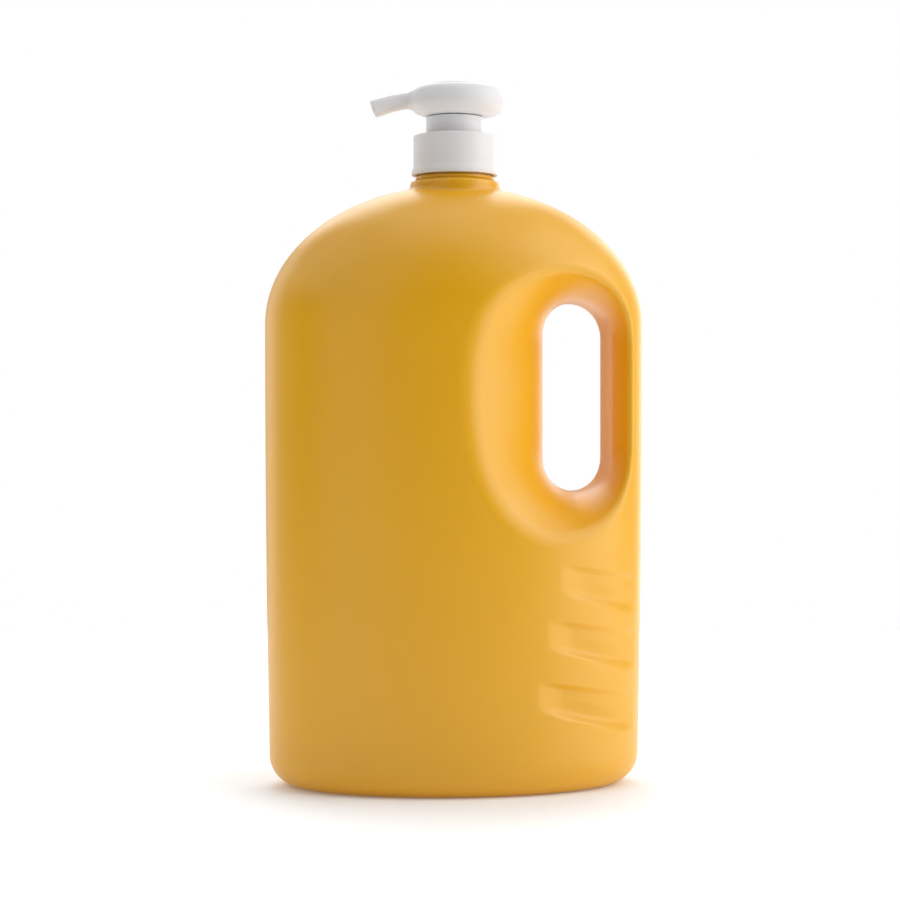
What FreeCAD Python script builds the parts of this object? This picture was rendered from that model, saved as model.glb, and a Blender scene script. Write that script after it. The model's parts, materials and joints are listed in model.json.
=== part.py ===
import FreeCAD, Part
import math
import os

from FreeCAD import Matrix, Vector

# Detergent jug with a screw-on, lock-down hand pump.
# Millimetres, +Z up. The origin is the middle of the jug's standing face.
# The handle is on the +X side and the nozzle points to -X.

# Jug body
HALF_WIDTH_SHOULDER = 96.5
HALF_WIDTH_BASE = 94.3
HALF_DEPTH_SHOULDER = 65.0
SHOULDER_Z = 233.3
DOME_HEIGHT = 70.6
BASE_CORNER = 16.0
PUSH_UP = 6.0
PUSH_UP_HALF_WIDTH = 66.0
FOOT_TRIM = 0.4
WALL = 1.3

# Handle: a through hole in the bottom of two opposite dishes
HOLE_X = 60.8
HOLE_Z = 196.8
HOLE_HALF_WIDTH = 15.6
HOLE_HALF_HEIGHT = 47.8
HOLE_EDGE_RADIUS = 2.0
DISH_MOUTH_Y = 70.0
DISH_MOUTH_LEFT = 66.0
DISH_MOUTH_RIGHT = 57.4
DISH_MOUTH_UP = 72.4
DISH_MOUTH_DOWN = 82.0
DISH_MOUTH_SQUARENESS = 2.2
DISH_FLOOR_HALF_WIDTH = 14.9
DISH_FLOOR_HALF_HEIGHT = 47.0
DISH_FLOOR_SQUARENESS = 3.2
DISH_WEB_HALF = 3.0
DISH_FLARE = 1.5
DISH_STEPS = (0.0, 0.12, 0.35, 0.65, 1.0)
DISH_POINTS = 24
DISH_RIM_RADIUS = 4.0

# Grip pockets: three on each face, low on the handle side
POCKET_LEFT_X = (49.5, 42.5, 37.0)
POCKET_TOP_Z = (112.0, 85.0, 55.0)
POCKET_HEIGHT = 11.3
POCKET_TOP_SLOPE = math.tan(math.radians(10.5))
POCKET_BOTTOM_SLOPE = math.tan(math.radians(18.5))
POCKET_SHIFT = Vector(1.8, 2.7, 0.0)

# Neck and its thread
NECK_RING_RADIUS = 22.6
NECK_RING_BOTTOM = 296.0
NECK_RING_TOP = 306.4
NECK_RING_ROUND = 1.6
NECK_STEP_RADIUS = 19.7
NECK_STEP_TOP = 308.4
NECK_BEAD_RADIUS = 18.4
NECK_BEAD_TOP = 310.4
NECK_RADIUS = 17.5
NECK_BORE = 14.6
THREAD_PITCH = 4.2
THREAD_TURNS = 1.5
THREAD_START_Z = 312.4
NECK_THREAD_CREST = 18.6
THREAD_HALF_ROOT = 1.0
THREAD_HALF_CREST = 0.6
THREAD_BITE = 0.3

# Closure
CLOSURE_BOTTOM = 309.3
CLOSURE_TOP = 329.8
CLOSURE_ROOF = 1.8
CLOSURE_RADIUS = 21.0
CLOSURE_LIP_RADIUS = 21.9
CLOSURE_LIP_HEIGHT = 2.2
CLOSURE_EDGE = 0.9
CLOSURE_BORE = 19.0
CLOSURE_THREAD_CREST = 17.8
CLOSURE_TOP_HOLE = 14.75

# Stack under the closure's roof
STACK_GAP = 0.05
FLANGE_RADIUS = 16.8
FLANGE = 1.5
GASKET = 1.2
CHAPLET_FLANGE_TOP = CLOSURE_TOP - CLOSURE_ROOF - STACK_GAP
HOUSING_FLANGE_TOP = CHAPLET_FLANGE_TOP - FLANGE
GASKET_TOP = HOUSING_FLANGE_TOP - FLANGE
NECK_TOP = GASKET_TOP - GASKET

# Chaplet
CHAPLET_RADIUS = 14.5
CHAPLET_TOP = 339.2
CHAPLET_WELL = 11.6
CHAPLET_WELL_FLOOR = 330.2
CHAPLET_GUIDE = 4.6
CHAPLET_PLUG_BORE = 6.4
CHAPLET_EDGE = 0.6
LOCK_PITCH = 3.0
LOCK_TURNS = 1.5
LOCK_START_Z = 332.6
LOCK_GROOVE_RADIUS = 12.4
LOCK_RIDGE_RADIUS = 11.3

# Pump travel and housing
STROKE = 16.0
HOUSING_RADIUS = 11.0
HOUSING_BORE = 9.0
PRESS_GAP = 0.02
RUNNING_GAP = 0.04
SPRING_SEAT_Z = 276.2
BALL_LIP_RADIUS = 3.2
BALL_LIP = 1.2
BALL_CHAMBER = 4.6
BALL_SEAT_TOP = 268.5
BALL_SEAT_BOTTOM = 266.0
BALL_SEAT_BORE = 2.2
BALL_SLOT = 1.6
INLET_BALL_RADIUS = 3.5
HOUSING_SHOULDER_Z = 273.0
HOUSING_NECK_Z = 266.0
HOUSING_NECK_RADIUS = 6.5
TAIL_RADIUS = 5.6
TAIL_SHELF = 262.0
TAIL_BOTTOM = 248.0

# Stem, piston and seat, drawn with the head locked down
STEM_RADIUS = 4.5
STEM_BORE = 2.9
STEM_BOTTOM = 296.4
STEM_TOP = 347.0
STEM_SHOULDER_Z = 305.6
STEM_SHOULDER = 1.4
STEM_SHOULDER_RADIUS = 5.6
OUTLET_WEB_BOTTOM = 338.0
OUTLET_SEAT_BOTTOM = 339.5
OUTLET_SEAT_BORE = 1.5
OUTLET_SEAT_SLOPE = 1.0
OUTLET_CHAMBER = 3.2
OUTLET_BALL_RADIUS = 2.5
PISTON_BOTTOM = 296.3
PISTON_HEIGHT = 9.2
PISTON_WAIST = 7.6
PISTON_LIP = 2.2
PLUG_GAP = 0.4
CHAPLET_PLUG_BOTTOM = PISTON_BOTTOM + PISTON_HEIGHT + STROKE + PLUG_GAP
SEAT_TOP = PISTON_BOTTOM - RUNNING_GAP
SEAT_DISC_RADIUS = 7.4
SEAT_DISC = 2.0
SEAT_SPIGOT = 7.0
SEAT_BORE = 1.6

# Spring, drawn compressed
SPRING_WIRE = 0.55
SPRING_RADIUS = 6.6
SPRING_HALF_TURNS = 15

# Dip tube
DIP_RADIUS = 4.0
DIP_BORE = 3.0
DIP_BOTTOM = 12.0
DIP_CUT_ANGLE = 35.0

# Press head: a rounded puck, a little narrower than long, with a raised pad
HEAD_OFFSET = 1.5
HEAD_HALF_LENGTH = 25.1
HEAD_HALF_WIDTH = 21.4
HEAD_BOTTOM = 339.5
HEAD_TOP = 355.0
HEAD_UPPER_ROUND = 7.6
HEAD_FLAT_RADIUS = 14.6
HEAD_SEAM = 341.5
HEAD_SEAM_STEP = 0.1
HEAD_WALL = 1.8
PAD_HALF_LENGTH = 14.6
PAD_HALF_WIDTH = 12.6
PAD_BOTTOM = 354.0
PAD_TOP = 356.0
PAD_ROUND = 0.9
PAD_DISH = 0.6
SOCKET_RADIUS = 6.4
SOCKET_BOTTOM = 340.6
SOCKET_GAP = 0.1
PASSAGE_RADIUS = 3.0
PASSAGE_TOP = 350.6
STOP_PIN_RADIUS = 1.0
STOP_PIN_BOTTOM = 345.9
BOSS_RADIUS = 10.9
BOSS_WALL = 1.6
BOSS_BOTTOM = 331.2

# Nozzle
NOZZLE_Z = 348.3
NOZZLE_ROOT_RADIUS = 3.4
NOZZLE_TIP_RADIUS = 4.65
NOZZLE_BORE = 2.1
NOZZLE_STRAIGHT = 17.0
NOZZLE_BEND = 66.0
NOZZLE_DROOP = math.radians(22.0)

AXIS = Vector(0, 0, 1)
ORIGIN = Vector(0, 0, 0)
OVERLAP = 1.0


def at(radius, height):
    return Vector(radius, 0, height)


def line(start, end):
    return Part.LineSegment(at(*start), at(*end)).toShape()


def arc(start, middle, end):
    return Part.Arc(at(*start), at(*middle), at(*end)).toShape()


def spun(edges):
    """Solid of revolution about Z from the edges of a closed outline in the XZ plane."""
    wire = Part.Wire(Part.__sortEdges__(edges))
    return Part.Face(wire).revolve(ORIGIN, AXIS, 360)


def turned(outline):
    """Solid of revolution about Z from a closed outline of (radius, height) corners."""
    corners = [at(radius, height) for radius, height in outline]
    return Part.Face(Part.makePolygon(corners + corners[:1])).revolve(ORIGIN, AXIS, 360)


def disc(radius, bottom, top):
    return Part.makeCylinder(radius, top - bottom, Vector(0, 0, bottom))


def ring(outer, inner, bottom, top):
    return disc(outer, bottom, top).cut(disc(inner, bottom - OVERLAP, top + OVERLAP))


def block_above(bottom, half_width, height):
    """A square block centred on Z that stands on a given height."""
    corner = Vector(-half_width, -half_width, bottom)
    return Part.makeBox(2 * half_width, 2 * half_width, height, corner)


def squeezed(solid, ratio):
    """The solid scaled along Y only."""
    matrix = Matrix()
    matrix.A22 = ratio
    return solid.transformGeometry(matrix)


def moved(solid, offset):
    copy = solid.copy()
    copy.translate(offset)
    return copy


def helical_ridge(root, crest, half_root, half_crest, start_z, pitch, turns):
    """A right-hand thread ridge: a trapezoid swept along a helix about Z."""
    helix = Part.makeHelix(pitch, pitch * turns, root)
    helix.translate(Vector(0, 0, start_z))
    corners = [
        at(root, start_z - half_root),
        at(crest, start_z - half_crest),
        at(crest, start_z + half_crest),
        at(root, start_z + half_root),
    ]
    profile = Part.makePolygon(corners + corners[:1])
    return Part.Wire(helix).makePipeShell([profile], True, True)


def jug_form(inset):
    """The plain jug without handle or neck: oval sides that draw in to the foot, domed top, pushed-up base.

    It is drawn a little too deep and trimmed, so that its standing face is a true plane.
    """
    half_width = HALF_WIDTH_SHOULDER - inset
    half_base = HALF_WIDTH_BASE - inset
    half_middle = half_width - (half_width - half_base) / 4
    corner = BASE_CORNER - inset
    floor = inset - FOOT_TRIM
    corner_in = half_base - corner
    diagonal = corner * math.sin(math.pi / 4)
    corner_middle = (corner_in + diagonal, floor + corner - diagonal)
    side_middle = (half_middle, (floor + corner + SHOULDER_Z) / 2)
    crown = SHOULDER_Z + DOME_HEIGHT - inset
    dome = Part.Ellipse(at(half_width, SHOULDER_Z), at(0, crown), at(0, SHOULDER_Z))
    arch_radius = (PUSH_UP_HALF_WIDTH ** 2 + PUSH_UP ** 2) / (2 * PUSH_UP)
    half_arch = PUSH_UP_HALF_WIDTH / 2
    arch_middle = floor + PUSH_UP - arch_radius + math.sqrt(arch_radius ** 2 - half_arch ** 2)
    edges = [
        arc((0, floor + PUSH_UP), (half_arch, arch_middle), (PUSH_UP_HALF_WIDTH, floor)),
        line((PUSH_UP_HALF_WIDTH, floor), (corner_in, floor)),
        arc((corner_in, floor), corner_middle, (half_base, floor + corner)),
        arc((half_base, floor + corner), side_middle, (half_width, SHOULDER_Z)),
        Part.ArcOfEllipse(dome, 0, math.pi / 2).toShape(),
        line((0, crown), (0, floor + PUSH_UP)),
    ]
    form = squeezed(spun(edges), (HALF_DEPTH_SHOULDER - inset) / half_width)
    return form.common(block_above(inset, HALF_WIDTH_SHOULDER + OVERLAP, crown))


def hole_prism(grow):
    """The handle's through hole: a slot with round ends, cut straight through along Y."""
    radius = HOLE_HALF_WIDTH + grow
    reach = HOLE_HALF_HEIGHT - HOLE_HALF_WIDTH
    side = Vector(radius, 0, 0)
    up = Vector(0, 0, radius)
    top = Vector(HOLE_X, -DISH_MOUTH_Y, HOLE_Z + reach)
    bottom = Vector(HOLE_X, -DISH_MOUTH_Y, HOLE_Z - reach)
    wire = Part.Wire([
        Part.Arc(top + side, top + up, top - side).toShape(),
        Part.LineSegment(top - side, bottom - side).toShape(),
        Part.Arc(bottom - side, bottom - up, bottom + side).toShape(),
        Part.LineSegment(bottom + side, top + side).toShape(),
    ])
    return Part.Face(wire).extrude(Vector(0, 2 * DISH_MOUTH_Y, 0))


def dish_section(depth, y, grow):
    """Closed outline of the dish: near the hole's own shape at depth 0, an egg at the mouth."""
    spread = depth ** DISH_FLARE
    power = DISH_MOUTH_SQUARENESS + (DISH_FLOOR_SQUARENESS - DISH_MOUTH_SQUARENESS) * (1 - spread) ** 2
    points = []
    for index in range(DISH_POINTS):
        angle = 2 * math.pi * index / DISH_POINTS
        across = math.cos(angle)
        along = math.sin(angle)
        square = (abs(across) ** power + abs(along) ** power) ** (-1 / power)
        mouth_x = DISH_MOUTH_RIGHT if across > 0 else DISH_MOUTH_LEFT
        mouth_z = DISH_MOUTH_UP if along > 0 else DISH_MOUTH_DOWN
        half_x = DISH_FLOOR_HALF_WIDTH + (mouth_x - DISH_FLOOR_HALF_WIDTH) * spread
        half_z = DISH_FLOOR_HALF_HEIGHT + (mouth_z - DISH_FLOOR_HALF_HEIGHT) * spread
        x = HOLE_X + half_x * across * square + grow * across
        z = HOLE_Z + half_z * along * square + grow * along
        points.append(Vector(x, y, z))
    curve = Part.BSplineCurve()
    curve.interpolate(points, True)
    return Part.Wire(curve.toShape())


def dish(side, grow):
    """One dish as a solid to cut, side -1 for the front face and 1 for the back."""
    web = DISH_WEB_HALF - grow
    sections = []
    for depth in DISH_STEPS:
        sections.append(dish_section(depth, side * (web + (DISH_MOUTH_Y - web) * depth), grow))
    return Part.makeLoft(sections, True, False)


def pocket(index, side, form, grow):
    """One grip pocket: bounded by two slanting edges, its floor a shifted copy of the jug's form."""
    left = POCKET_LEFT_X[index] - grow
    right = HALF_WIDTH_SHOULDER + grow
    top = POCKET_TOP_Z[index] + grow
    bottom = top - POCKET_HEIGHT - 2 * grow
    run = right - left
    corners = [
        Vector(left, 0, top),
        Vector(right, 0, top - run * POCKET_TOP_SLOPE),
        Vector(right, 0, bottom - run * POCKET_BOTTOM_SLOPE),
        Vector(left, 0, bottom),
    ]
    face = Part.Face(Part.makePolygon(corners + corners[:1]))
    prism = face.extrude(Vector(0, side * DISH_MOUTH_Y, 0))
    shift = Vector(POCKET_SHIFT.x, -side * POCKET_SHIFT.y, 0)
    return prism.cut(moved(form, shift))


def carved_form(inset):
    """The jug's form with dishes, handle hole and pockets, inset by a wall thickness."""
    form = jug_form(inset)
    cuts = [hole_prism(inset)]
    for side in (-1, 1):
        cuts.append(dish(side, inset))
        for index in range(len(POCKET_TOP_Z)):
            cuts.append(pocket(index, side, form, inset))
    return form.cut(cuts)


def is_dish_rim(edge):
    """True for the edges where a dish meets the jug's outer face."""
    box = edge.BoundBox
    beside_hole = box.ZMin > HOLE_Z - DISH_MOUTH_DOWN and box.ZMax < HOLE_Z + DISH_MOUTH_UP
    clear_of_web = min(abs(box.YMin), abs(box.YMax)) > HOLE_HALF_WIDTH
    return beside_hole and clear_of_web and box.XMin > HOLE_X - DISH_MOUTH_LEFT - DISH_RIM_RADIUS


def is_hole_edge(edge):
    """True for the edges where the hole's wall meets a dish."""
    box = edge.BoundBox
    across = abs(box.Center.x - HOLE_X) < HOLE_HALF_WIDTH + OVERLAP
    tall = box.ZMin > HOLE_Z - HOLE_HALF_HEIGHT - OVERLAP and box.ZMax < HOLE_Z + HOLE_HALF_HEIGHT + OVERLAP
    narrow = box.XMax < HOLE_X + HOLE_HALF_WIDTH + OVERLAP
    one_side = box.YMin * box.YMax > 0
    return across and tall and narrow and one_side


def neck():
    """Solid neck: rounded ring on the dome, step, bead, threaded barrel."""
    ring_inner = NECK_RING_RADIUS - NECK_RING_ROUND
    shoulder = NECK_RING_TOP - NECK_RING_ROUND
    diagonal = NECK_RING_ROUND * math.sin(math.pi / 4)
    round_middle = (ring_inner + diagonal, shoulder + diagonal)
    edges = [
        line((0, NECK_RING_BOTTOM), (NECK_RING_RADIUS, NECK_RING_BOTTOM)),
        line((NECK_RING_RADIUS, NECK_RING_BOTTOM), (NECK_RING_RADIUS, shoulder)),
        arc((NECK_RING_RADIUS, shoulder), round_middle, (ring_inner, NECK_RING_TOP)),
        line((ring_inner, NECK_RING_TOP), (NECK_STEP_RADIUS, NECK_RING_TOP)),
        line((NECK_STEP_RADIUS, NECK_RING_TOP), (NECK_STEP_RADIUS, NECK_STEP_TOP)),
        line((NECK_STEP_RADIUS, NECK_STEP_TOP), (NECK_BEAD_RADIUS, NECK_STEP_TOP)),
        line((NECK_BEAD_RADIUS, NECK_STEP_TOP), (NECK_BEAD_RADIUS, NECK_BEAD_TOP)),
        line((NECK_BEAD_RADIUS, NECK_BEAD_TOP), (NECK_RADIUS, NECK_BEAD_TOP)),
        line((NECK_RADIUS, NECK_BEAD_TOP), (NECK_RADIUS, NECK_TOP)),
        line((NECK_RADIUS, NECK_TOP), (0, NECK_TOP)),
        line((0, NECK_TOP), (0, NECK_RING_BOTTOM)),
    ]
    ridge = helical_ridge(
        NECK_RADIUS - THREAD_BITE, NECK_THREAD_CREST, THREAD_HALF_ROOT, THREAD_HALF_CREST,
        THREAD_START_Z, THREAD_PITCH, THREAD_TURNS,
    )
    return spun(edges).fuse(ridge)


def rounded(form, radius, is_wanted):
    return form.makeFillet(radius, [edge for edge in form.Edges if is_wanted(edge)])


def bottle():
    """Hollow jug: the inside is rounded with the outside, so that the wall stays even along the dish rims."""
    outside = rounded(carved_form(0), DISH_RIM_RADIUS, is_dish_rim)
    outside = rounded(outside, HOLE_EDGE_RADIUS, is_hole_edge)
    inside = rounded(carved_form(WALL), DISH_RIM_RADIUS - WALL, is_dish_rim)
    bore = disc(NECK_BORE, NECK_RING_BOTTOM - BASE_CORNER, NECK_TOP + OVERLAP)
    return outside.fuse(neck()).cut([inside, bore])


def closure():
    lip_z = CLOSURE_BOTTOM + CLOSURE_LIP_HEIGHT
    roof = CLOSURE_TOP - CLOSURE_ROOF
    body = turned([
        (CLOSURE_TOP_HOLE, CLOSURE_TOP),
        (CLOSURE_RADIUS - CLOSURE_EDGE, CLOSURE_TOP),
        (CLOSURE_RADIUS, CLOSURE_TOP - CLOSURE_EDGE),
        (CLOSURE_RADIUS, lip_z + CLOSURE_LIP_HEIGHT),
        (CLOSURE_LIP_RADIUS, lip_z),
        (CLOSURE_LIP_RADIUS, CLOSURE_BOTTOM),
        (CLOSURE_BORE, CLOSURE_BOTTOM),
        (CLOSURE_BORE, roof),
        (CLOSURE_TOP_HOLE, roof),
    ])
    ridge = helical_ridge(
        CLOSURE_BORE + THREAD_BITE, CLOSURE_THREAD_CREST, THREAD_HALF_ROOT, THREAD_HALF_CREST,
        THREAD_START_Z + THREAD_PITCH / 2, THREAD_PITCH, THREAD_TURNS,
    )
    return body.fuse(ridge)


def neck_gasket():
    return ring(FLANGE_RADIUS, HOUSING_RADIUS + STACK_GAP, NECK_TOP, GASKET_TOP)


def chaplet():
    body = turned([
        (CHAPLET_GUIDE, CHAPLET_WELL_FLOOR),
        (CHAPLET_WELL, CHAPLET_WELL_FLOOR),
        (CHAPLET_WELL, CHAPLET_TOP),
        (CHAPLET_RADIUS - CHAPLET_EDGE, CHAPLET_TOP),
        (CHAPLET_RADIUS, CHAPLET_TOP - CHAPLET_EDGE),
        (CHAPLET_RADIUS, CHAPLET_FLANGE_TOP),
        (FLANGE_RADIUS, CHAPLET_FLANGE_TOP),
        (FLANGE_RADIUS, HOUSING_FLANGE_TOP),
        (HOUSING_BORE - PRESS_GAP, HOUSING_FLANGE_TOP),
        (HOUSING_BORE - PRESS_GAP, CHAPLET_PLUG_BOTTOM),
        (CHAPLET_PLUG_BORE, CHAPLET_PLUG_BOTTOM),
        (CHAPLET_PLUG_BORE, HOUSING_FLANGE_TOP),
        (CHAPLET_GUIDE, HOUSING_FLANGE_TOP),
    ])
    groove = helical_ridge(
        CHAPLET_WELL - THREAD_BITE, LOCK_GROOVE_RADIUS, THREAD_HALF_ROOT, THREAD_HALF_CREST,
        LOCK_START_Z, LOCK_PITCH, LOCK_TURNS,
    )
    return body.cut(groove)


def pump_housing():
    body = turned([
        (HOUSING_BORE, HOUSING_FLANGE_TOP),
        (FLANGE_RADIUS, HOUSING_FLANGE_TOP),
        (FLANGE_RADIUS, GASKET_TOP),
        (HOUSING_RADIUS, GASKET_TOP),
        (HOUSING_RADIUS, HOUSING_SHOULDER_Z),
        (HOUSING_NECK_RADIUS, HOUSING_NECK_Z),
        (TAIL_RADIUS, TAIL_SHELF),
        (TAIL_RADIUS, TAIL_BOTTOM),
        (DIP_RADIUS, TAIL_BOTTOM),
        (DIP_RADIUS, TAIL_SHELF),
        (BALL_SEAT_BORE, TAIL_SHELF),
        (BALL_SEAT_BORE, BALL_SEAT_BOTTOM),
        (BALL_CHAMBER, BALL_SEAT_TOP),
        (BALL_CHAMBER, SPRING_SEAT_Z - BALL_LIP),
        (BALL_LIP_RADIUS, SPRING_SEAT_Z - BALL_LIP),
        (BALL_LIP_RADIUS, SPRING_SEAT_Z),
        (HOUSING_BORE, SPRING_SEAT_Z),
    ])
    slot_length = 2 * BALL_CHAMBER
    slot_height = BALL_LIP + OVERLAP
    slots = []
    for length_x, length_y in ((slot_length, BALL_SLOT), (BALL_SLOT, slot_length)):
        corner = Vector(-length_x / 2, -length_y / 2, SPRING_SEAT_Z - BALL_LIP)
        slots.append(Part.makeBox(length_x, length_y, slot_height, corner))
    return body.cut(slots)


def stem():
    shoulder_top = STEM_SHOULDER_Z + STEM_SHOULDER
    seat_top = OUTLET_SEAT_BOTTOM + (OUTLET_CHAMBER - OUTLET_SEAT_BORE) * OUTLET_SEAT_SLOPE
    return turned([
        (STEM_BORE, STEM_BOTTOM),
        (STEM_RADIUS, STEM_BOTTOM),
        (STEM_RADIUS, STEM_SHOULDER_Z),
        (STEM_SHOULDER_RADIUS, STEM_SHOULDER_Z),
        (STEM_SHOULDER_RADIUS, shoulder_top),
        (STEM_RADIUS, shoulder_top),
        (STEM_RADIUS, STEM_TOP),
        (OUTLET_CHAMBER, STEM_TOP),
        (OUTLET_CHAMBER, seat_top),
        (OUTLET_SEAT_BORE, OUTLET_SEAT_BOTTOM),
        (OUTLET_SEAT_BORE, OUTLET_WEB_BOTTOM),
        (STEM_BORE, OUTLET_WEB_BOTTOM),
    ])


def piston():
    """Soft piston with an upper and a lower lip that run on the housing's bore."""
    top = PISTON_BOTTOM + PISTON_HEIGHT
    bore = STEM_RADIUS + RUNNING_GAP
    lip = HOUSING_BORE - RUNNING_GAP
    return turned([
        (bore, PISTON_BOTTOM),
        (PISTON_WAIST, PISTON_BOTTOM),
        (lip, PISTON_BOTTOM + PISTON_LIP / 2),
        (lip, PISTON_BOTTOM + PISTON_LIP),
        (PISTON_WAIST, PISTON_BOTTOM + 2 * PISTON_LIP),
        (PISTON_WAIST, top - 2 * PISTON_LIP),
        (lip, top - PISTON_LIP),
        (lip, top - PISTON_LIP / 2),
        (PISTON_WAIST, top),
        (bore, top),
    ])


def piston_seat():
    """Plug in the foot of the stem: its disc holds the piston up and takes the spring."""
    spigot = STEM_BORE - PRESS_GAP
    return turned([
        (SEAT_BORE, SEAT_TOP - SEAT_DISC),
        (SEAT_DISC_RADIUS, SEAT_TOP - SEAT_DISC),
        (SEAT_DISC_RADIUS, SEAT_TOP),
        (spigot, SEAT_TOP),
        (spigot, SEAT_TOP + SEAT_SPIGOT),
        (SEAT_BORE, SEAT_TOP + SEAT_SPIGOT),
    ])


def return_spring():
    """Open coil spring between the housing's ledge and the piston seat.

    Each half turn is half of a tilted ring, and the halves meet level, so the wire runs on smoothly.
    """
    bottom = SPRING_SEAT_Z + SPRING_WIRE + STACK_GAP
    height = SEAT_TOP - SEAT_DISC - SPRING_WIRE - STACK_GAP - bottom
    rise = height / SPRING_HALF_TURNS
    circle = Part.makeCircle(SPRING_WIRE, Vector(SPRING_RADIUS, 0, 0), Vector(0, 1, 0))
    tilted_axis = Vector(rise / 2, 0, SPRING_RADIUS)
    half_turn = Part.Face(Part.Wire(circle)).revolve(Vector(0, 0, rise / 2), tilted_axis, 180)
    coil = []
    for index in range(SPRING_HALF_TURNS):
        piece = moved(half_turn, Vector(0, 0, bottom + index * rise))
        piece.rotate(ORIGIN, AXIS, 180 * index)
        coil.append(piece)
    return coil[0].fuse(coil[1:])


def ball_on_cone(radius, cone_bore, cone_bottom, slope):
    """A ball resting in a conical seat whose wall rises at the given slope from its bore."""
    angle = math.atan(slope)
    centre = cone_bottom + radius / math.cos(angle) - cone_bore * slope
    return Part.makeSphere(radius, Vector(0, 0, centre + PRESS_GAP))


def inlet_ball():
    slope = (BALL_SEAT_TOP - BALL_SEAT_BOTTOM) / (BALL_CHAMBER - BALL_SEAT_BORE)
    return ball_on_cone(INLET_BALL_RADIUS, BALL_SEAT_BORE, BALL_SEAT_BOTTOM, slope)


def outlet_ball():
    return ball_on_cone(OUTLET_BALL_RADIUS, OUTLET_SEAT_BORE, OUTLET_SEAT_BOTTOM, OUTLET_SEAT_SLOPE)


def dip_tube():
    """Straight tube with a slanting lower end, so that it can't seal against the jug's floor."""
    tube = ring(DIP_RADIUS - PRESS_GAP, DIP_BORE, DIP_BOTTOM, TAIL_SHELF)
    size = 3 * DIP_RADIUS
    block = block_above(-size, size, size)
    block.rotate(ORIGIN, Vector(0, 1, 0), DIP_CUT_ANGLE)
    block.translate(Vector(0, 0, DIP_BOTTOM + DIP_RADIUS * math.tan(math.radians(DIP_CUT_ANGLE))))
    return tube.cut(block)


def puck(inset):
    """The head's outer form, a rounded puck, inset by a wall thickness."""
    widest = HEAD_HALF_LENGTH - inset
    top = HEAD_TOP - inset
    bottom = HEAD_BOTTOM + inset
    equator = HEAD_TOP - HEAD_UPPER_ROUND
    flat = HEAD_HALF_LENGTH - HEAD_UPPER_ROUND
    diagonal = (HEAD_UPPER_ROUND - inset) * math.sin(math.pi / 4)
    lower = Part.Ellipse(at(widest, equator), at(HEAD_FLAT_RADIUS, bottom), at(HEAD_FLAT_RADIUS, equator))
    edges = [
        line((0, top), (flat, top)),
        arc((flat, top), (flat + diagonal, equator + diagonal), (widest, equator)),
        Part.ArcOfEllipse(lower, 0, math.pi / 2).toShape(),
        line((HEAD_FLAT_RADIUS, bottom), (0, bottom)),
        line((0, bottom), (0, top)),
    ]
    form = squeezed(spun(edges), HEAD_HALF_WIDTH / HEAD_HALF_LENGTH)
    return moved(form, Vector(HEAD_OFFSET, 0, 0))


def above_seam(form):
    height = HEAD_TOP - HEAD_SEAM + OVERLAP
    return form.common(block_above(HEAD_SEAM, 2 * HEAD_HALF_LENGTH, height))


def below_seam(form):
    height = HEAD_SEAM - HEAD_BOTTOM + OVERLAP
    return form.common(block_above(HEAD_SEAM - height, 2 * HEAD_HALF_LENGTH, height))


def press_pad():
    """Raised oval pad with a rounded edge and a shallow hollow for the palm."""
    shoulder = PAD_TOP - PAD_ROUND
    flat = PAD_HALF_LENGTH - PAD_ROUND
    diagonal = PAD_ROUND * math.sin(math.pi / 4)
    edges = [
        line((0, PAD_BOTTOM), (PAD_HALF_LENGTH, PAD_BOTTOM)),
        line((PAD_HALF_LENGTH, PAD_BOTTOM), (PAD_HALF_LENGTH, shoulder)),
        arc((PAD_HALF_LENGTH, shoulder), (flat + diagonal, shoulder + diagonal), (flat, PAD_TOP)),
        line((flat, PAD_TOP), (0, PAD_TOP)),
        line((0, PAD_TOP), (0, PAD_BOTTOM)),
    ]
    hollow_radius = (flat ** 2 + PAD_DISH ** 2) / (2 * PAD_DISH)
    hollow = Part.makeSphere(hollow_radius, Vector(0, 0, PAD_TOP - PAD_DISH + hollow_radius))
    return squeezed(spun(edges).cut(hollow), PAD_HALF_WIDTH / PAD_HALF_LENGTH)


def nozzle_sweep(root_radius, tip_radius):
    """Round bar from the stem's axis out to the nozzle's tip, straight and then drooping."""
    bend_centre = NOZZLE_Z - NOZZLE_BEND
    bend_start = (-NOZZLE_STRAIGHT, NOZZLE_Z)

    def on_bend(angle):
        x = -NOZZLE_STRAIGHT - NOZZLE_BEND * math.sin(angle)
        return x, bend_centre + NOZZLE_BEND * math.cos(angle)

    path = Part.Wire([
        line((0, NOZZLE_Z), bend_start),
        arc(bend_start, on_bend(NOZZLE_DROOP / 2), on_bend(NOZZLE_DROOP)),
    ])
    tip_direction = Vector(-math.cos(NOZZLE_DROOP), 0, -math.sin(NOZZLE_DROOP))
    root = Part.makeCircle(root_radius, at(0, NOZZLE_Z), Vector(-1, 0, 0))
    tip = Part.makeCircle(tip_radius, at(*on_bend(NOZZLE_DROOP)), tip_direction)
    return path.makePipeShell([Part.Wire(root), Part.Wire(tip)], True, False)


def actuator_head():
    """Upper shell of the press head with its pad, stem socket and nozzle."""
    shell = above_seam(puck(0).cut(puck(HEAD_WALL)))
    socket = disc(SOCKET_RADIUS, SOCKET_BOTTOM, PAD_BOTTOM)
    solid = shell.fuse([press_pad(), socket, nozzle_sweep(NOZZLE_ROOT_RADIUS, NOZZLE_TIP_RADIUS)])
    stem_hole = disc(STEM_RADIUS + PRESS_GAP, SOCKET_BOTTOM - OVERLAP, STEM_TOP + PRESS_GAP)
    passage = disc(PASSAGE_RADIUS, STEM_TOP - OVERLAP, PASSAGE_TOP)
    solid = solid.cut([stem_hole, passage, nozzle_sweep(NOZZLE_BORE, NOZZLE_BORE)])
    return solid.fuse(disc(STOP_PIN_RADIUS, STOP_PIN_BOTTOM, PASSAGE_TOP + OVERLAP))


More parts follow.
